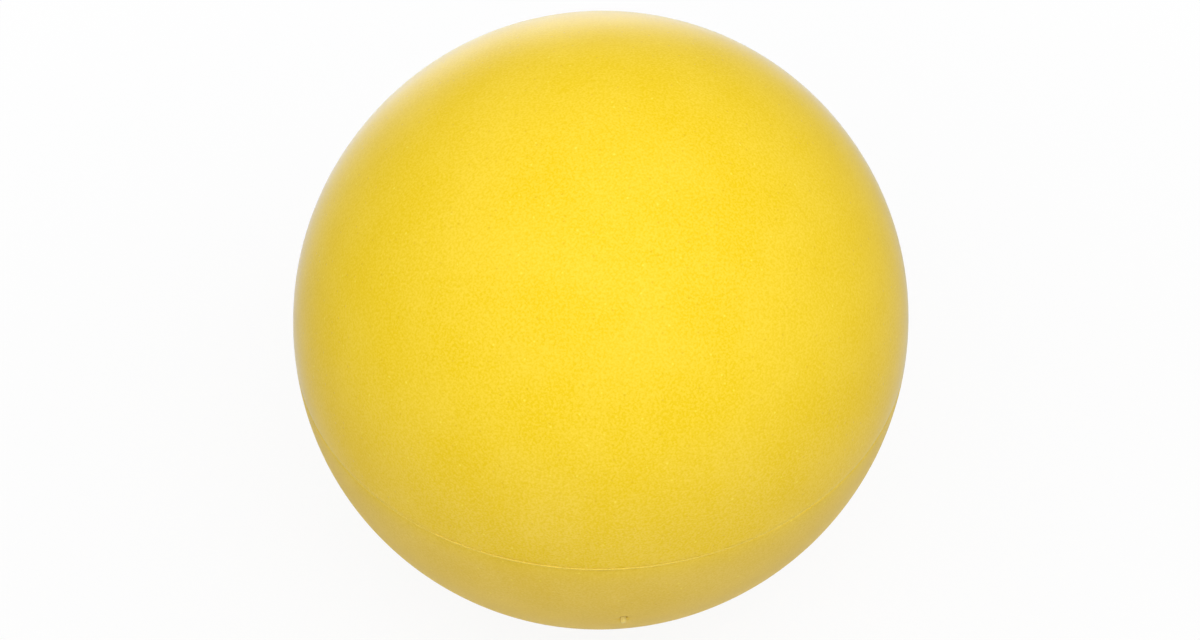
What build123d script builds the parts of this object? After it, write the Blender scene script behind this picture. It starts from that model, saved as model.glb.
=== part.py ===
"""Foam dodgeball: a moulded foam core inside two half skins that meet at a seam.

Each half skin is formed in its own mould half, the foam sets inside the closed pair, and the
bead that squeezes out between the two rims is trimmed to a fine ridge round the ball.
A small plug closes the vent in the lower skin.

Frame: origin at the ball's centre, +Z along the mould axis, so the seam lies in the XY plane,
and the front of the ball is -Y. Lengths are millimetres and angles are degrees.
"""

import os
from math import cos, radians, sin

from build123d import *

# Ball and skin
ball_diameter = 178.0
skin_thickness = 1.2

# Seam bead between the two skin rims
bead_width = 0.6
bead_height = 0.3
bead_round = 0.24
rim_round = 0.3

# Vent in the lower skin, and the plug that closes it
vent_latitude = -20.0
vent_azimuth = 3.6
vent_gap = 0.35
plug_diameter = 1.5
plug_height = 0.9
plug_depth = 4.0
plug_round = 0.45

# Sizes that follow from the ones above
ball_radius = ball_diameter / 2
core_radius = ball_radius - skin_thickness
half_bead = bead_width / 2
plug_radius = plug_diameter / 2
vent_radius = plug_radius + vent_gap

vent_direction = Vector(
    sin(radians(vent_azimuth)) * cos(radians(vent_latitude)),
    -cos(radians(vent_azimuth)) * cos(radians(vent_latitude)),
    sin(radians(vent_latitude)),
)


def vent_plane(radius):
    """Plane square to the vent's axis, at that distance from the ball's centre, facing outwards."""
    return Plane(origin=vent_direction * radius, z_dir=vent_direction)


def half_skin_section():
    """Section of the upper skin: a quarter band between the two spheres, with its rim edge rounded."""
    with BuildSketch(Plane.XZ) as section:
        Circle(ball_radius)
        Circle(core_radius, mode=Mode.SUBTRACT)
        with Locations((0, half_bead)):
            Rectangle(
                ball_diameter,
                ball_diameter,
                align=(Align.MIN, Align.MIN),
                mode=Mode.INTERSECT,
            )
        fillet(section.vertices().sort_by(Axis.X)[-1], rim_round)
    return section.sketch


# Foam core, with the vent channel that the plug's stem fills
with BuildPart() as foam_core:
    Sphere(core_radius)
    with Locations(vent_plane(core_radius)):
        Hole(plug_radius, depth=plug_depth)

# Upper skin, the half above the seam
with BuildPart() as upper_skin:
    revolve(half_skin_section(), axis=Axis.Z)

# Lower skin, the same half turned over, with the vent hole through it
with BuildPart() as lower_skin:
    mirror(revolve(half_skin_section(), axis=Axis.Z, mode=Mode.PRIVATE), about=Plane.XY)
    with Locations(vent_plane(ball_radius)):
        Hole(vent_radius, depth=2 * skin_thickness)

# Seam bead, seated on the core between the two rims, with a rounded crest
with BuildPart() as seam_bead:
    with BuildSketch(Plane.XZ) as bead_section:
        Rectangle(ball_radius + bead_height, bead_width, align=(Align.MIN, Align.CENTER))
        Circle(core_radius, mode=Mode.SUBTRACT)
        fillet(bead_section.vertices().group_by(Axis.X)[-1], bead_round)
    revolve(axis=Axis.Z)

# Vent plug: its stem fills the channel in the core and its tip stands out of the skin
with BuildPart() as vent_plug:
    with BuildSketch(vent_plane(core_radius - plug_depth)):
        Circle(plug_radius)
    extrude(amount=plug_depth + skin_thickness + plug_height)
    tip = vent_plug.edges().filter_by(GeomType.CIRCLE).sort_by_distance((0, 0, 0))[-1]
    fillet(tip, plug_round)

pieces = {
    "foam_core": foam_core,
    "upper_skin": upper_skin,
    "lower_skin": lower_skin,
    "seam_bead": seam_bead,
    "vent_plug": vent_plug,
}
os.makedirs("parts", exist_ok=True)
for name, piece in pieces.items():
    piece.part.label = name
    export_step(piece.part, f"parts/{name}.step")
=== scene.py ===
"""Looks of the foam dodgeball: two half skins, the bead between them, the vent pip and the core.

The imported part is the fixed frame, with the ball's centre at the origin and the seam in the XY
plane. Every size is read from it, in metres, and each piece made here stands for one of its nodes.
"""

import logging
from collections.abc import Callable
from dataclasses import dataclass
from enum import Enum
from math import asin, cos, pi, radians, sin, tan

import bmesh
import bpy
from mathutils import Matrix, Quaternion, Vector, noise


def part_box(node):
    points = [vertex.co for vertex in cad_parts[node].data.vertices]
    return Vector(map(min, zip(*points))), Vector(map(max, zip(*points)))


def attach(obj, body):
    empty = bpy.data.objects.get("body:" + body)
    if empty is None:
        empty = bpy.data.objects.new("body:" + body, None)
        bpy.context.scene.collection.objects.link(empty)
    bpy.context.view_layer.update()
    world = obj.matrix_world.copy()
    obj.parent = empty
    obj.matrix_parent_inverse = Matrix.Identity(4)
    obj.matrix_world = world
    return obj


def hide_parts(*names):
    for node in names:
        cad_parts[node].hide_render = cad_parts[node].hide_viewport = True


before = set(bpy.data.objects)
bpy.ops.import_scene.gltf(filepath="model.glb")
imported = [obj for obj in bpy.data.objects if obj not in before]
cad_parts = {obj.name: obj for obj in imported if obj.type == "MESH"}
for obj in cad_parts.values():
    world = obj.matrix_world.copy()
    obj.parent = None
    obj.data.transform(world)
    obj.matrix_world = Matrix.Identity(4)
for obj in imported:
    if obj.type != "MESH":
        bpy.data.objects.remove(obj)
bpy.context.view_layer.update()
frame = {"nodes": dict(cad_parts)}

LOG = logging.getLogger("dodgeball")
ROOT_BODY = "root"
MILLIMETRE = 0.001

# Rings of faces round a hole that is cut in a piece
HOLE_RINGS = 4

# How near points lie that are one point, on one edge line or at one distance from the centre
WELD_GAP = 0.001 * MILLIMETRE
LINE_SLACK = 0.01 * MILLIMETRE
LEVEL_SLACK = 0.02 * MILLIMETRE

# Edges that turn by more than this stay sharp to the eye
SHARP_ANGLE = radians(50)

Colour = tuple[float, float, float]
Range = tuple[float, float]
WHITE: Colour = (1.0, 1.0, 1.0)


class Node(Enum):
    """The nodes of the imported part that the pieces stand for."""

    FOAM_CORE = "foam_core"
    UPPER_SKIN = "upper_skin"
    LOWER_SKIN = "lower_skin"
    SEAM_BEAD = "seam_bead"
    VENT_PLUG = "vent_plug"


class Half(Enum):
    """The two halves of the mould, as the sign of their side of the seam."""

    UPPER = 1
    LOWER = -1


class Rounding(Enum):
    """What a rounding runs along, by Blender's names."""

    EDGES = "EDGES"
    CORNERS = "VERTICES"


@dataclass(frozen=True)
class BallSizes:
    """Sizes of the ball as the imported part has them."""

    radius: float
    core_radius: float
    bead_radius: float
    half_bead: float
    vent_axis: Vector
    vent_radius: float
    plug_radius: float
    plug_root: float
    plug_tip: float

    @classmethod
    def from_frame(cls, nodes: dict[str, bpy.types.Object]) -> "BallSizes":
        """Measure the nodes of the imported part.

        Args:
            nodes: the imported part's objects by node name.

        Returns:
            The sizes that every piece follows.
        """
        plug = [vertex.co.copy() for vertex in nodes[Node.VENT_PLUG.value].data.vertices]
        lower = [vertex.co.copy() for vertex in nodes[Node.LOWER_SKIN.value].data.vertices]
        axis = sum(plug, Vector()).normalized()
        bead_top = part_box(Node.SEAM_BEAD.value)[1]
        return cls(
            radius=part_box(Node.UPPER_SKIN.value)[1].z,
            core_radius=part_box(Node.FOAM_CORE.value)[1].z,
            bead_radius=bead_top.x,
            half_bead=bead_top.z,
            vent_axis=axis,
            vent_radius=min(off_axis(point, axis) for point in lower if point.dot(axis) > 0),
            plug_radius=max(off_axis(point, axis) for point in plug),
            plug_root=min(point.dot(axis) for point in plug),
            plug_tip=max(point.dot(axis) for point in plug),
        )

    @property
    def skin_thickness(self) -> float:
        """Wall of the two skins."""
        return self.radius - self.core_radius

    def vent_place(self, distance: float) -> Matrix:
        """Find a place along the vent.

        Args:
            distance: how far the place is from the ball's centre.

        Returns:
            The matrix that puts local +Z along the vent there.
        """
        turn = self.vent_axis.to_track_quat("Z", "Y").to_matrix().to_4x4()
        return Matrix.Translation(self.vent_axis * distance) @ turn


@dataclass(frozen=True)
class OutOfRound:
    """How far the soft ball is from round: a little longer one way and shorter across it."""

    long_axis: Vector
    short_axis: Vector
    share: float

    def matrix(self) -> Matrix:
        """Stretch along the long axis and shrink along the short one."""
        longer = Matrix.Scale(1 + self.share, 4, self.long_axis)
        return longer @ Matrix.Scale(1 - self.share, 4, self.short_axis)


def off_axis(point: Vector, axis: Vector) -> float:
    """Distance of a point from the line through the ball's centre along axis."""
    return (point - axis * point.dot(axis)).length


def smooth_step(value: float) -> float:
    """Ease from 0 to 1 as value goes from 0 to 1."""
    held = min(max(value, 0.0), 1.0)
    return held * held * (3 - 2 * held)


def cut_round_hole(
    mesh: bmesh.types.BMesh,
    axis: Vector,
    place: Matrix,
    hole_radius: float,
    patch_radius: float,
) -> list[bmesh.types.BMEdge]:
    """Open a round hole in a ball-shaped surface.

    Args:
        mesh: the surface, which is changed.
        axis: the hole's direction from the ball's centre.
        place: where the hole's circle lies, with its local +Z along axis.
        hole_radius: radius of the hole.
        patch_radius: radius of the patch of faces that is made again around it.

    Returns:
        The edges of the hole's circle.
    """
    level = place.translation.length
    patch = [
        face
        for face in mesh.faces
        if face.calc_center_median().dot(axis) > 0
        and off_axis(face.calc_center_median(), axis) < patch_radius
    ]
    border = dict.fromkeys(edge for face in patch for edge in face.edges)
    bmesh.ops.delete(mesh, geom=patch, context="FACES")
    border = [edge for edge in border if edge.is_valid and edge.is_boundary]
    circle = bmesh.ops.create_circle(
        mesh, segments=len(border), radius=hole_radius, matrix=place
    )["verts"]
    for vertex in circle:
        vertex.co = vertex.co.normalized() * level
    ring = list(dict.fromkeys(edge for vertex in circle for edge in vertex.link_edges))
    web = bmesh.ops.bridge_loops(mesh, edges=border + ring)["faces"]
    spokes = dict.fromkeys(edge for face in web for edge in face.edges)
    spokes = [edge for edge in spokes if edge not in set(border + ring)]
    bmesh.ops.subdivide_edges(mesh, edges=spokes, cuts=HOLE_RINGS, use_grid_fill=True)
    return ring


def spin_round(mesh: bmesh.types.BMesh, steps: int) -> None:
    """Spin an outline once round the Z axis.

    Args:
        mesh: the outline's vertices and edges, which become the surface.
        steps: number of steps round the axis.
    """
    bmesh.ops.spin(
        mesh,
        geom=mesh.verts[:] + mesh.edges[:],
        cent=(0, 0, 0),
        axis=(0, 0, 1),
        angle=2 * pi,
        steps=steps,
        use_merge=True,
    )


def round_off(
    mesh: bmesh.types.BMesh,
    chosen: list[bmesh.types.BMEdge] | list[bmesh.types.BMVert],
    along: Rounding,
    reach: float,
    steps: int,
) -> None:
    """Round edges or corners of a piece.

    Args:
        mesh: the piece, which is changed.
        chosen: the edges or the corners' vertices.
        along: which of the two they are.
        reach: how far the rounding reaches from them.
        steps: number of steps in the rounding.
    """
    bmesh.ops.bevel(
        mesh,
        geom=chosen,
        offset=reach,
        affect=along.value,
        segments=steps,
        profile=0.5,
        material=-1,
    )


def add_object(name: str, data: bpy.types.ID) -> bpy.types.Object:
    """Put a mesh, a lamp or a camera in the scene.

    Args:
        name: the object's name.
        data: the mesh, light or camera data.

    Returns:
        The new object.
    """
    item = bpy.data.objects.new(name, data)
    bpy.context.scene.collection.objects.link(item)
    return item


class NodeBoard:
    """A shader node tree, with short calls that add nodes and join them."""

    def __init__(self, tree: bpy.types.NodeTree) -> None:
        """Empty the tree.

        Args:
            tree: the node tree of a material or a world.
        """
        self.tree = tree
        self.tree.nodes.clear()

    def add(
        self, kind: str, settings: dict[str, object] | None = None, **inputs: object
    ) -> bpy.types.Node:
        """Add a node.

        Args:
            kind: Blender's name for the node, without its ShaderNode prefix.
            settings: the node's own options, by attribute name.
            inputs: values or output sockets for its inputs, with _ for a space in a name.

        Returns:
            The new node.
        """
        node = self.tree.nodes.new("ShaderNode" + kind)
        for name, value in (settings or {}).items():
            setattr(node, name, value)
        for name, value in inputs.items():
            self.feed(node.inputs[name.replace("_", " ")], value)
        return node

    def feed(self, target: bpy.types.NodeSocket, value: object) -> None:
        """Link an output socket to an input, or set the input's value.

        Args:
            target: the input.
            value: an output socket, or a plain value.
        """
        if isinstance(value, bpy.types.NodeSocket):
            self.tree.links.new(value, target)
        else:
            target.default_value = value

    def math(self, operation: str, first: object, second: object) -> bpy.types.NodeSocket:
        """Add a Math node.

        Args:
            operation: Blender's name for the operation.
            first: a number or an output socket.
            second: a number or an output socket.

        Returns:
            The socket of the result.
        """
        node = self.add("Math", {"operation": operation})
        self.feed(node.inputs[0], first)
        self.feed(node.inputs[1], second)
        return node.outputs[0]

    def ramp(self, value: object, source: Range, target: Range) -> bpy.types.NodeSocket:
        """Add an eased map from one range of numbers to another.

        Args:
            value: the output socket to map.
            source: the two ends of the range that value is read on.
            target: what the map gives at those ends.

        Returns:
            The socket of the result.
        """
        node = self.add("MapRange", {"interpolation_type": "SMOOTHSTEP"}, Value=value)
        for name, number in zip(("From Min", "From Max", "To Min", "To Max"), source + target):
            node.inputs[name].default_value = number
        return node.outputs["Result"]

    def tint(
        self, blend: str, factor: object, below: object, above: object
    ) -> bpy.types.NodeSocket:
        """Add a blend of two colours.

        Args:
            blend: Blender's name for the way of blending.
            factor: share of the blend, a number or an output socket.
            below: the first colour, or its output socket.
            above: the colour that comes over it, or its output socket.

        Returns:
            The socket of the blended colour.
        """
        node = self.add("Mix", {"data_type": "RGBA", "blend_type": blend, "clamp_factor": True})
        colours = [socket for socket in node.inputs if socket.type == "RGBA"]
        self.feed(node.inputs["Factor"], factor)
        self.feed(colours[0], below)
        self.feed(colours[1], above)
        return next(socket for socket in node.outputs if socket.type == "RGBA")

    def clouds(
        self, coords: bpy.types.NodeSocket, size: float, detail: float
    ) -> bpy.types.NodeSocket:
        """Add a cloudy pattern.

        Args:
            coords: where the pattern is read.
            size: size of its clouds.
            detail: how many times finer clouds are laid over them.

        Returns:
            The socket of the pattern's value, from 0 to 1.
        """
        pattern = self.add("TexNoise", Vector=coords, Scale=1 / size, Detail=detail)
        return pattern.outputs["Fac"]


def start_material(name: str) -> tuple[bpy.types.Material, NodeBoard]:
    """Start a node material.

    Args:
        name: the material's name.

    Returns:
        The material and its empty node board.
    """
    material = bpy.data.materials.new(name)
    material.use_nodes = True
    return material, NodeBoard(material.node_tree)


def opaque(colour: Colour) -> tuple[float, float, float, float]:
    """The colour with full alpha."""
    return (*colour, 1.0)


@dataclass(frozen=True)
class SkinFinish:
    """Matte moulded skin: fine cells, pits with painted shade, painted glints, and a haze at
    grazing angles.

    Painted shade and floor reflection: the colour turns a little darker and paler as the height
    over the seam falls from the first of its two given heights to the second.
    Lengths are in metres. A dot's size is a share of its spacing, and gaps is the share of the
    spots that hold none.
    """

    name: str
    colour: Colour
    reflection_and_shade_colour: Colour
    reflection_from: float
    reflection_to: float
    haze: float
    haze_roughness: float = 0.3
    haze_tint: Colour = (0.62, 0.74, 1.0)
    gloss: float = 0.025
    roughness: float = 0.6
    roughness_step: float = 0.06
    cell_size: float = 0.6 * MILLIMETRE
    cell_depth: float = 0.05 * MILLIMETRE
    cell_detail: float = 2.0
    cell_range: Range = (0.25, 0.75)
    mottle_size: float = 20 * MILLIMETRE
    mottle_share: float = 0.18
    mottle_detail: float = 3.0
    mottle_range: Range = (0.3, 0.7)
    tone_steps: Colour = (0.036, 0.057, 0.62)
    # Pores are pits in the bump, with painted shade in them.
    pore_spacing: float = 2.4 * MILLIMETRE
    pore_size: float = 0.16
    pore_gaps: float = 0.5
    pore_shade_strength: float = 0.22
    painted_pore_shade_colour: Colour = (0.7, 0.36, 0.01)
    # Painted glints: sparse pale dots.
    glint_spacing: float = 3.4 * MILLIMETRE
    glint_size: float = 0.12
    glint_gaps: float = 0.5
    glint_strength: float = 0.42
    painted_glint_colour: Colour = (1.0, 0.85, 0.12)

    def material(self) -> bpy.types.Material:
        """Make the finish as a node material.

        Returns:
            The material.
        """
        material, board = start_material(self.name)
        coords = board.add("TexCoord").outputs["Object"]
        cells = board.clouds(coords, self.cell_size, self.cell_detail)
        mottle = board.clouds(coords, self.mottle_size, self.mottle_detail)
        pores = self.dots(board, coords, self.pore_spacing, self.pore_size, self.pore_gaps)
        glints = self.dots(board, coords, self.glint_spacing, self.glint_size, self.glint_gaps)
        tone = board.math(
            "ADD",
            board.ramp(cells, self.cell_range, (0.0, 1.0)),
            board.ramp(mottle, self.mottle_range, (-self.mottle_share, self.mottle_share)),
        )
        grain = board.tint("MIX", tone, opaque(self.toned(-1)), opaque(self.toned(1)))
        # Painted shade and painted reflection of the floor: the colour turns a little darker and
        # paler lower down.
        height = board.add("SeparateXYZ", Vector=coords).outputs["Z"]
        reflection_share = board.ramp(height, (self.reflection_to, self.reflection_from), (1.0, 0.0))
        colour = board.tint("MIX", reflection_share, opaque(self.colour), opaque(self.reflection_and_shade_colour))
        colour = board.tint("MULTIPLY", 1.0, colour, grain)
        # Painted shade in the pores' pits: darker, deeper orange dots.
        pore_shade = board.math("MULTIPLY", pores, self.pore_shade_strength)
        colour = board.tint("MIX", pore_shade, colour, opaque(self.painted_pore_shade_colour))
        # Painted glints: pale dots laid over the colour.
        glint_share = board.math("MULTIPLY", glints, self.glint_strength)
        colour = board.tint("MIX", glint_share, colour, opaque(self.painted_glint_colour))
        relief = board.math("SUBTRACT", cells, pores)
        bump = board.add("Bump", Height=relief, Distance=self.cell_depth, Strength=1.0)
        smoothest, roughest = (self.roughness + side * self.roughness_step for side in (-1, 1))
        shader = board.add(
            "BsdfPrincipled",
            Base_Color=colour,
            Roughness=board.ramp(cells, self.cell_range, (smoothest, roughest)),
            Specular_IOR_Level=self.gloss,
            Sheen_Weight=self.haze,
            Sheen_Roughness=self.haze_roughness,
            Sheen_Tint=opaque(self.haze_tint),
            Normal=bump.outputs["Normal"],
        )
        board.add("OutputMaterial", Surface=shader.outputs["BSDF"])
        return material

    def toned(self, side: int) -> Colour:
        """Share of each colour one step paler, for side 1, or one step deeper, for side -1."""
        return tuple(1 + side * step for step in self.tone_steps)

    @staticmethod
    def dots(
        board: NodeBoard,
        coords: bpy.types.NodeSocket,
        spacing: float,
        size: float,
        gaps: float,
    ) -> bpy.types.NodeSocket:
        """Mask of small round dots, scattered unevenly.

        Args:
            board: the material's nodes.
            coords: where the pattern is read.
            spacing: mean distance between the cells that may hold a dot.
            size: radius of a dot, as a share of the spacing.
            gaps: share of the cells that hold no dot.

        Returns:
            A socket that is 1 in a dot and 0 around it.
        """
        cell = board.add("TexVoronoi", Vector=coords, Scale=1 / spacing)
        pick = board.add("SeparateColor", Color=cell.outputs["Color"])
        present = board.math("GREATER_THAN", pick.outputs["Red"], gaps)
        fade = board.ramp(cell.outputs["Distance"], (size / 2, size), (1.0, 0.0))
        return board.math("MULTIPLY", present, fade)


@dataclass(frozen=True)
class FoamFinish:
    """Bare foam with open cells, as on the trimmed bead, the pip and the core."""

    name: str
    colour: Colour
    cell_size: float = 0.5 * MILLIMETRE
    cell_depth: float = 0.08 * MILLIMETRE
    cell_contrast: float = 0.1
    cell_range: Range = (0.1, 0.7)
    grain_size: float = 0.25 * MILLIMETRE
    grain_detail: float = 2.0
    grain_range: Range = (0.3, 0.7)
    roughness: float = 0.85
    gloss: float = 0.2
    haze: float = 0.2

    def material(self) -> bpy.types.Material:
        """Make the finish as a node material.

        Returns:
            The material.
        """
        material, board = start_material(self.name)
        coords = board.add("TexCoord").outputs["Object"]
        cells = board.add("TexVoronoi", Vector=coords, Scale=1 / self.cell_size).outputs["Distance"]
        grain = board.clouds(coords, self.grain_size, self.grain_detail)
        # Painted shade: each open cell is darker towards its hollow middle, with random grain over
        # it.
        step = self.cell_contrast / 2
        shade = board.math(
            "ADD",
            board.ramp(cells, self.cell_range, (1 - self.cell_contrast, 1.0)),
            board.ramp(grain, self.grain_range, (-step, step)),
        )
        bump = board.add("Bump", Height=cells, Distance=self.cell_depth, Strength=1.0)
        shader = board.add(
            "BsdfPrincipled",
            Base_Color=board.tint("MULTIPLY", 1.0, opaque(self.colour), shade),
            Roughness=self.roughness,
            Specular_IOR_Level=self.gloss,
            Sheen_Weight=self.haze,
            Normal=bump.outputs["Normal"],
        )
        board.add("OutputMaterial", Surface=shader.outputs["BSDF"])
        return material


@dataclass
class Piece:
    """What every piece has: the sizes it follows, the node it stands for and its finish."""

    sizes: BallSizes
    node: Node
    name: str
    finish: SkinFinish | FoamFinish

    def shape(self) -> bmesh.types.BMesh:
        """Model the piece in place, in the ball's frame."""
        raise NotImplementedError

    def build(self) -> bpy.types.Object:
        """Make the piece's object from its shape and dress it.

        Returns:
            The object, riding on the ball and standing for its node.
        """
        shape = self.shape()
        bmesh.ops.transform(shape, matrix=BALL_SHAPE.matrix(), verts=shape.verts)
        mesh = bpy.data.meshes.new(self.name)
        shape.to_mesh(mesh)
        shape.free()
        mesh.shade_smooth()
        mesh.set_sharp_from_angle(angle=SHARP_ANGLE)
        piece = add_object(self.name, mesh)
        self.dress(piece)
        return piece

    def dress(self, piece: bpy.types.Object) -> None:
        """Give the piece its finish and its place in the part.

        Args:
            piece: the object to dress.
        """
        piece.data.materials.append(self.finish.material())
        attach(piece, ROOT_BODY)
        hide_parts(self.node.value)


@dataclass
class HalfSkin(Piece):
    """One moulded half of the skin, from its pole to the rim beside the seam.

    vent_patch, in vent radii, is how far the faces round the vent are made again.
    """

    half: Half = Half.UPPER
    vented: bool = False
    rim_round: float = 0.3 * MILLIMETRE
    lip_round: float = 0.15 * MILLIMETRE
    round_steps: int = 4
    rings: int = 96
    segments: int = 360
    swell: float = 0.09 * MILLIMETRE
    swell_size: float = 46 * MILLIMETRE
    ripple: float = 0.02 * MILLIMETRE
    ripple_size: float = 11 * MILLIMETRE
    calm_band: float = 12 * MILLIMETRE
    vent_patch: float = 3.0
    vent_sink: float = 0.25 * MILLIMETRE
    sink_reach: float = 1.3 * MILLIMETRE

    def shape(self) -> bmesh.types.BMesh:
        """Spin the outer surface, make it uneven, open the vent, add the wall and round the edges.

        Returns:
            The half skin.
        """
        sizes, side = self.sizes, self.half.value
        mesh = bmesh.new()
        pole = bmesh.ops.create_vert(mesh, co=(0, 0, side * sizes.radius))["vert"]
        reach = pi / 2 - asin(sizes.half_bead / sizes.radius)
        bmesh.ops.spin(
            mesh, geom=pole, cent=(0, 0, 0), axis=(0, 1, 0), angle=side * reach, steps=self.rings
        )
        spin_round(mesh, self.segments)
        bmesh.ops.remove_doubles(mesh, verts=mesh.verts, dist=WELD_GAP)
        for vertex in mesh.verts:
            vertex.co += vertex.co.normalized() * self.rise(vertex.co)
        vent_level = sizes.radius + self.rise(sizes.vent_axis * sizes.radius)
        if self.vented:
            cut_round_hole(
                mesh,
                axis=sizes.vent_axis,
                place=sizes.vent_place(vent_level),
                hole_radius=sizes.vent_radius,
                patch_radius=self.vent_patch * sizes.vent_radius,
            )
        bmesh.ops.recalc_face_normals(mesh, faces=mesh.faces)
        bmesh.ops.solidify(mesh, geom=mesh.faces[:], thickness=sizes.skin_thickness)
        self.round_edges(mesh, sizes.radius, self.on_rim, self.rim_round)
        if self.vented:
            self.sink_vent(mesh)
            self.round_edges(mesh, vent_level - self.vent_sink, self.on_lip, self.lip_round)
        return mesh

    def sink_vent(self, mesh: bmesh.types.BMesh) -> None:
        """Let the outer surface sink a little round the vent, where the foam shrank as it set.

        Args:
            mesh: the half skin with its wall, which is changed.
        """
        sizes = self.sizes
        mid_wall = sizes.radius - sizes.skin_thickness / 2
        for vertex in mesh.verts:
            if vertex.co.length > mid_wall and vertex.co.dot(sizes.vent_axis) > 0:
                away = off_axis(vertex.co, sizes.vent_axis) - sizes.vent_radius
                share = 1 - smooth_step(away / self.sink_reach)
                vertex.co -= vertex.co.normalized() * self.vent_sink * share

    def rise(self, point: Vector) -> float:
        """Find how uneven the skin is at a point, which is less and less towards the seam.

        Args:
            point: a point of the true ball.

        Returns:
            How far the skin stands out of the ball there.
        """
        uneven = self.swell * noise.noise(point / self.swell_size)
        uneven += self.ripple * noise.noise(point / self.ripple_size)
        return uneven * smooth_step(abs(point.z) / self.calm_band)

    def on_rim(self, point: Vector) -> bool:
        """Whether a point is as high as the rim beside the seam."""
        return abs(abs(point.z) - self.sizes.half_bead) < LINE_SLACK

    def on_lip(self, point: Vector) -> bool:
        """Whether a point is as far from the vent's axis as the vent's wall."""
        away = off_axis(point, self.sizes.vent_axis)
        return abs(away - self.sizes.vent_radius) < LINE_SLACK

    def round_edges(
        self,
        mesh: bmesh.types.BMesh,
        level: float,
        chosen: Callable[[Vector], bool],
        reach: float,
    ) -> None:
        """Round outer edges of the skin.

        Args:
            mesh: the half skin with its wall, which is changed.
            level: distance of the edges from the ball's centre.
            chosen: test that both ends of such an edge pass.
            reach: how far the rounding reaches from them.
        """
        edges = [
            edge
            for edge in mesh.edges
            if all(
                abs(vertex.co.length - level) < LEVEL_SLACK and chosen(vertex.co)
                for vertex in edge.verts
            )
        ]
        round_off(mesh, edges, Rounding.EDGES, reach, self.round_steps)


@dataclass
class SeamBead(Piece):
    """The bead that squeezed out between the two rims, trimmed by hand to an uneven ridge.

    It is trimmed least at proud_azimuth, in degrees, and most from proud_reach, in radians, away.
    trim_start and wander_start say where in the noise the trimmed line and its wandering begin.
    """

    crest_round: float = 0.24 * MILLIMETRE
    round_steps: int = 4
    segments: int = 900
    trim: float = 0.09 * MILLIMETRE
    side_trim: float = 0.22 * MILLIMETRE
    proud_azimuth: float = -14.0
    proud_reach: float = radians(55)
    trim_waver: float = 0.08 * MILLIMETRE
    trim_size: float = 7 * MILLIMETRE
    trim_start: tuple[float, float, float] = (57.53, 13.59, 5.0)
    nick_depth: float = 0.09 * MILLIMETRE
    nick_size: float = 1.3 * MILLIMETRE
    wander: float = 0.08 * MILLIMETRE
    wander_start: tuple[float, float, float] = (7.0, 3.0, 5.0)

    def shape(self) -> bmesh.types.BMesh:
        """Spin the bead's rounded section round the ball and trim its crest.

        Returns:
            The bead.
        """
        sizes = self.sizes
        mesh = bmesh.new()
        corners = [
            mesh.verts.new((across, 0, height))
            for across, height in (
                (sizes.core_radius, -sizes.half_bead),
                (sizes.bead_radius, -sizes.half_bead),
                (sizes.bead_radius, sizes.half_bead),
                (sizes.core_radius, sizes.half_bead),
            )
        ]
        mesh.faces.new(corners)
        crest = corners[1:3]
        round_off(mesh, crest, Rounding.CORNERS, self.crest_round, self.round_steps)
        bmesh.ops.delete(mesh, geom=mesh.faces[:], context="FACES_ONLY")
        spin_round(mesh, self.segments)
        bmesh.ops.recalc_face_normals(mesh, faces=mesh.faces)
        self.trim_crest(mesh)
        return mesh

    def trim_crest(self, mesh: bmesh.types.BMesh) -> None:
        """Lower the crest unevenly, nick it and let it wander across the seam.

        Args:
            mesh: the even bead, which is changed.
        """
        root = self.sizes.core_radius
        rise = self.sizes.bead_radius - root
        proud = from_angles(self.proud_azimuth, 0)
        trim_start, wander_start = Vector(self.trim_start), Vector(self.wander_start)
        for vertex in mesh.verts:
            outward = Vector((vertex.co.x, vertex.co.y, 0))
            share = smooth_step((outward.length - root) / rise)
            around = outward.normalized() * self.sizes.radius
            aside = proud.angle(outward) / self.proud_reach
            cut = self.trim + self.side_trim * smooth_step(aside)
            cut += self.trim_waver * noise.noise(around / self.trim_size + trim_start)
            cut += self.nick_depth * max(0.0, noise.noise(around / self.nick_size))
            vertex.co -= outward.normalized() * cut * share
            sway = noise.noise(around / self.trim_size + wander_start)
            vertex.co.z += self.wander * share * sway


@dataclass
class VentPlug(Piece):
    """The plug of foam that set in the vent, whose torn tip stands out of the skin as a pip."""

    tip_round: float = 0.45 * MILLIMETRE
    round_steps: int = 5
    segments: int = 24
    tear: float = 0.12 * MILLIMETRE
    tear_size: float = 0.7 * MILLIMETRE
    pull: float = 0.35 * MILLIMETRE
    lean: tuple[float, float, float] = (-0.3 * MILLIMETRE, -0.25 * MILLIMETRE, 0.0)

    def shape(self) -> bmesh.types.BMesh:
        """Draw the stem, round its tip and tear it a little.

        Returns:
            The plug.
        """
        sizes = self.sizes
        length = sizes.plug_tip - sizes.plug_root + self.pull
        skin_level = sizes.radius - sizes.plug_root
        mesh = bmesh.new()
        bmesh.ops.create_circle(
            mesh, cap_ends=True, segments=self.segments, radius=sizes.plug_radius
        )
        drawn = bmesh.ops.extrude_face_region(mesh, geom=mesh.faces[:])
        top = [item for item in drawn["geom"] if isinstance(item, bmesh.types.BMVert)]
        bmesh.ops.translate(mesh, verts=top, vec=(0, 0, length))
        bmesh.ops.recalc_face_normals(mesh, faces=mesh.faces)
        crown = [edge for edge in mesh.edges if all(vertex in top for vertex in edge.verts)]
        round_off(mesh, crown, Rounding.EDGES, self.tip_round, self.round_steps)
        cap = max(mesh.faces, key=lambda face: face.calc_center_median().z)
        bmesh.ops.poke(mesh, faces=[cap])
        tip_foot = length - self.tip_round
        for vertex in mesh.verts:
            share = smooth_step((vertex.co.z - tip_foot) / self.tip_round)
            vertex.co.z += share * self.tear * noise.noise(vertex.co / self.tear_size)
            drawn_out = smooth_step((vertex.co.z - skin_level) / (length - skin_level))
            vertex.co += Vector(self.lean) * drawn_out
        bmesh.ops.transform(mesh, matrix=sizes.vent_place(sizes.plug_root), verts=mesh.verts)
        return mesh


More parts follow.
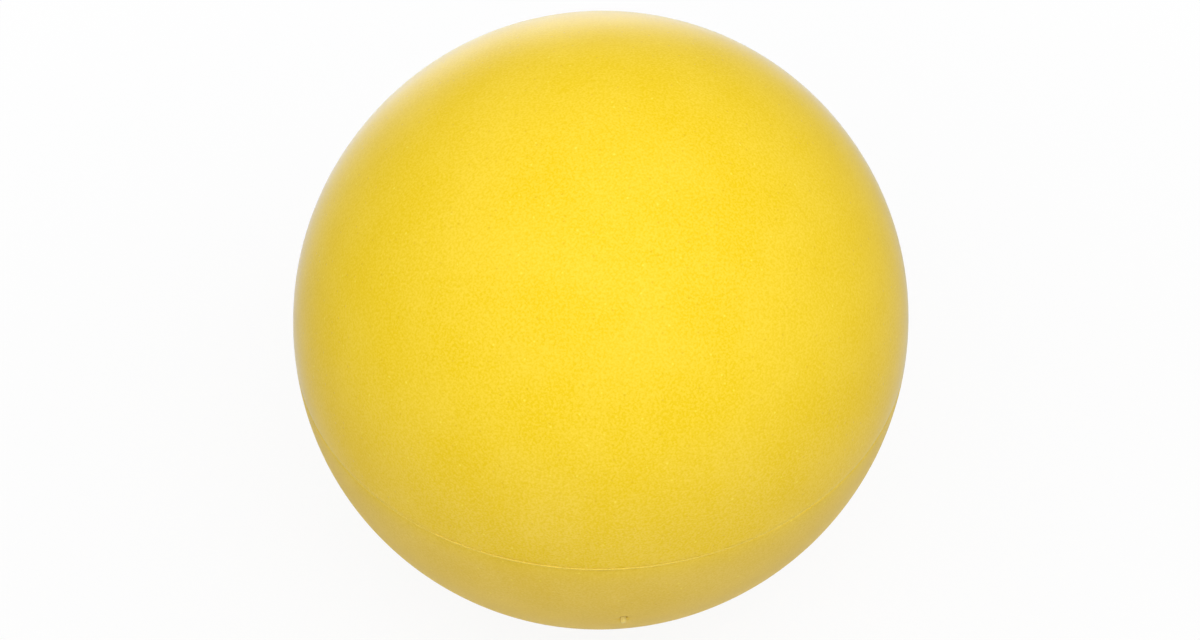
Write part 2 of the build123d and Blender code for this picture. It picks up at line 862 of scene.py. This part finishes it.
@dataclass
class FoamCore(Piece):
    """The soft foam ball inside the skins, with the vent channel that the plug fills.

    vent_patch, in plug radii, is how far the faces round the channel are made again.
    """

    fineness: int = 7
    dimple: float = 0.12 * MILLIMETRE
    dimple_size: float = 3.2 * MILLIMETRE
    vent_patch: float = 4.0
    fill: float = 1.0

    def shape(self) -> bmesh.types.BMesh:
        """Make the ball, open the vent channel and let the foam's cells dimple the surface.

        Returns:
            The core.
        """
        sizes = self.sizes
        mesh = bmesh.new()
        bmesh.ops.create_icosphere(mesh, subdivisions=self.fineness, radius=sizes.core_radius)
        for vertex in mesh.verts:
            sink = self.dimple * (0.5 + 0.5 * noise.noise(vertex.co / self.dimple_size))
            vertex.co -= vertex.co.normalized() * sink
        level = sizes.core_radius - self.dimple / 2
        ring = cut_round_hole(
            mesh,
            axis=sizes.vent_axis,
            place=sizes.vent_place(level),
            hole_radius=sizes.plug_radius,
            patch_radius=self.vent_patch * sizes.plug_radius,
        )
        walls = bmesh.ops.extrude_edge_only(mesh, edges=ring)
        floor = [item for item in walls["geom"] if isinstance(item, bmesh.types.BMVert)]
        depth = sizes.plug_root - level
        bmesh.ops.translate(mesh, verts=floor, vec=sizes.vent_axis * depth)
        bmesh.ops.contextual_create(mesh, geom=floor)
        bmesh.ops.recalc_face_normals(mesh, faces=mesh.faces)
        return mesh

    def dress(self, piece: bpy.types.Object) -> None:
        """Args:
            piece: the core's object.
        """
        super().dress(piece)


@dataclass(frozen=True)
class SoftBox:
    """One soft lamp, aimed at the ball: angles in degrees, lengths in metres, power in watts."""

    name: str
    azimuth: float
    elevation: float
    distance: float
    width: float
    height: float
    power: float
    tone: Colour = WHITE

    def place(self) -> bpy.types.Object:
        """Put the lamp in the scene.

        Returns:
            The lamp.
        """
        light = bpy.data.lights.new(self.name, "AREA")
        light.shape = "ELLIPSE"
        light.size = self.width
        light.size_y = self.height
        light.energy = self.power
        light.color = self.tone
        lamp = add_object(self.name, light)
        direction = from_angles(self.azimuth, self.elevation)
        lamp.location = direction * self.distance
        lamp.rotation_mode = "QUATERNION"
        lamp.rotation_quaternion = direction.to_track_quat("Z", "Y")
        lamp.visible_camera = False
        return lamp


def from_angles(azimuth: float, elevation: float) -> Vector:
    """Find the direction at two angles.

    Args:
        azimuth: degrees from the front, -Y, round to +X.
        elevation: degrees above the seam's plane.

    Returns:
        A unit vector.
    """
    turn, rise = radians(azimuth), radians(elevation)
    return Vector((sin(turn) * cos(rise), -cos(turn) * cos(rise), sin(rise)))


@dataclass
class Studio:
    """The white floor, the soft lamps and the camera at the photo's viewing angle.

    Angles are in degrees, floor_reach in metres and sensor_width in millimetres. camera_distance
    and shadow_reach are in ball radii, and shadow_core is the share of shadow_reach from which
    the shadow fades. image_width, outline_radius and off_centre are in pixels of the photo.
    """

    sizes: BallSizes
    lamps: tuple[SoftBox, ...]
    ambient: float = 0.344
    floor_albedo: float = 0.8
    floor_reach: float = 6.0
    floor_segments: int = 96
    shadow_share: float = 0.09
    shadow_reach: float = 5.0
    shadow_core: float = 0.3
    azimuth: float = -1.2
    elevation: float = 47.4
    lean: float = -0.22
    camera_distance: float = 7.0
    sensor_width: float = 36.0
    image_width: float = 1200.0
    outline_radius: float = 308.65
    off_centre: float = 0.8

    def build(self) -> None:
        """Set up the view, the world, the floor, the lamps and the camera."""
        bpy.context.scene.view_settings.view_transform = "Standard"
        self.build_world()
        self.build_floor()
        for lamp in self.lamps:
            lamp.place()
        self.build_camera()

    @staticmethod
    def shown_rays(board: NodeBoard) -> bpy.types.NodeSocket:
        """Tell apart the rays that show the background: camera, glossy and transmission.

        Args:
            board: the nodes of the world or the floor.

        Returns:
            A socket that is 1 for those rays and 0 for others.
        """
        path = board.add("LightPath").outputs
        shiny = board.math("MAXIMUM", path["Is Glossy Ray"], path["Is Transmission Ray"])
        return board.math("MAXIMUM", path["Is Camera Ray"], shiny)

    def build_world(self) -> None:
        """Make a world that is white where it shows and lights the ball at the ambient level."""
        world = bpy.data.worlds.new("studio_air")
        world.use_nodes = True
        bpy.context.scene.world = world
        board = NodeBoard(world.node_tree)
        strength = board.ramp(self.shown_rays(board), (0.0, 1.0), (self.ambient, 1.0))
        light = board.add("Background", Color=opaque(WHITE), Strength=strength)
        board.add("OutputWorld", Surface=light.outputs["Background"])

    def build_floor(self) -> None:
        """Lay the white floor under the ball; near the ball it keeps a share of the shadow."""
        mesh = bmesh.new()
        bmesh.ops.create_circle(
            mesh,
            cap_ends=True,
            segments=self.floor_segments,
            radius=self.floor_reach,
            matrix=Matrix.Translation((0, 0, -self.sizes.radius * (1 + BALL_SHAPE.share))),
        )
        data = bpy.data.meshes.new("studio_floor")
        mesh.to_mesh(data)
        mesh.free()
        floor = add_object("studio_floor", data)
        data.materials.append(self.floor_material())

    def floor_material(self) -> bpy.types.Material:
        """Make the floor's material.

        Returns:
            A matte white that shows as plain white, apart from the shadow near the ball.
        """
        material, board = start_material("studio_white")
        coords = board.add("TexCoord").outputs["Object"]
        away = board.add("VectorMath", {"operation": "LENGTH"})
        board.feed(away.inputs[0], coords)
        reach = self.shadow_reach * self.sizes.radius
        share = board.ramp(
            away.outputs["Value"],
            (self.shadow_core * reach, reach),
            (1 - self.shadow_share, 1.0),
        )
        paper = board.add("BsdfDiffuse", Color=opaque((self.floor_albedo,) * 3))
        glow = board.add("Emission", Color=opaque(WHITE), Strength=1.0)
        blend = board.add("MixShader")
        board.feed(blend.inputs[0], board.math("MULTIPLY", self.shown_rays(board), share))
        board.feed(blend.inputs[1], paper.outputs["BSDF"])
        board.feed(blend.inputs[2], glow.outputs["Emission"])
        board.add("OutputMaterial", Surface=blend.outputs["Shader"])
        return material

    def build_camera(self) -> None:
        """Place the camera where the seam and the outline look as they do in the photo."""
        data = bpy.data.cameras.new("photo_view")
        data.sensor_fit = "HORIZONTAL"
        data.sensor_width = self.sensor_width
        half_angle = asin(1 / self.camera_distance)
        data.lens = self.sensor_width * self.outline_radius / self.image_width / tan(half_angle)
        data.shift_x = -self.off_centre / self.image_width
        camera = add_object("photo_view", data)
        direction = from_angles(self.azimuth, self.elevation)
        camera.location = direction * self.camera_distance * self.sizes.radius
        camera.rotation_mode = "QUATERNION"
        roll = Quaternion((0, 0, 1), radians(-self.lean))
        camera.rotation_quaternion = direction.to_track_quat("Z", "Y") @ roll
        bpy.context.scene.camera = camera


BALL_SHAPE = OutOfRound(
    long_axis=Vector((0.447, 0.662, 0.602)),
    short_axis=Vector((0.895, -0.331, -0.301)),
    share=0.0045,
)

# The second colour of each skin, lower down, is a painted shade and painted reflection of the
# floor.
UPPER_FINISH = SkinFinish(
    "upper_skin_matte_yellow",
    colour=(0.9, 0.638, 0.031),
    reflection_and_shade_colour=(0.868, 0.61, 0.05),
    reflection_from=50 * MILLIMETRE,
    reflection_to=4 * MILLIMETRE,
    haze=0.55,
)
LOWER_FINISH = SkinFinish(
    "lower_skin_dull_yellow",
    colour=(0.836, 0.586, 0.054),
    reflection_and_shade_colour=(0.824, 0.577, 0.072),
    reflection_from=0.0,
    reflection_to=-9 * MILLIMETRE,
    haze=0.18,
    haze_roughness=0.4,
    tone_steps=(0.036, 0.057, 0.36),
)
BEAD_FINISH = FoamFinish("trimmed_bead_foam", (0.845, 0.622, 0.078))
PIP_FINISH = FoamFinish("vent_pip_foam", (0.8, 0.63, 0.18))
CORE_FINISH = FoamFinish("core_open_foam", (0.92, 0.66, 0.12), cell_contrast=0.3)

COOL_WHITE: Colour = (0.65, 0.73, 1.0)

# Low strips on the floor behind the ball, which light the haze at its top left: azimuth and power
LOW_STRIPS: dict[str, tuple[float, float]] = {
    "low_strip_back": (180, 0.85),
    "low_strip_near": (-168, 0.24),
    "low_strip_far": (-156, 0.79),
    "low_strip_left": (-144, 0.12),
}

LAMPS: tuple[SoftBox, ...] = (
    SoftBox("front_bank", 9, 55, distance=1.3, width=1.0, height=0.8, power=1.7),
    SoftBox("low_bank", -19, 35, distance=1.3, width=0.8, height=0.8, power=1.56),
    SoftBox("right_bank", 36, 65, distance=1.3, width=1.0, height=1.0, power=7.13),
    SoftBox("left_bank", -55, 60, distance=1.3, width=1.0, height=1.0, power=3.82),
    SoftBox("right_lamp", 71, 46, distance=1.2, width=0.35, height=0.35, power=0.84),
    *(
        SoftBox(
            name,
            azimuth,
            elevation=-5.7,
            distance=0.6,
            width=0.22,
            height=0.05,
            power=power,
            tone=COOL_WHITE,
        )
        for name, (azimuth, power) in LOW_STRIPS.items()
    ),
    SoftBox(
        "back_strip", -176, 1, distance=0.75, width=0.4, height=0.12, power=1.38, tone=COOL_WHITE
    ),
)


def main() -> None:
    """Build the ball's pieces in order, then the studio round them."""
    logging.basicConfig(level=logging.INFO, format="%(name)s: %(message)s")
    sizes = BallSizes.from_frame(frame["nodes"])
    pieces = (
        FoamCore(sizes, Node.FOAM_CORE, "moulded_core", CORE_FINISH),
        HalfSkin(sizes, Node.UPPER_SKIN, "upper_half_skin", UPPER_FINISH),
        HalfSkin(sizes, Node.LOWER_SKIN, "lower_half_skin", LOWER_FINISH, Half.LOWER, vented=True),
        SeamBead(sizes, Node.SEAM_BEAD, "trimmed_bead", BEAD_FINISH),
        VentPlug(sizes, Node.VENT_PLUG, "vent_pip", PIP_FINISH),
    )
    for piece in pieces:
        faces = len(piece.build().data.polygons)
        LOG.info("%s stands for %s: %d faces", piece.name, piece.node.value, faces)
    Studio(sizes, LAMPS).build()


if __name__ == "__main__":
    main()
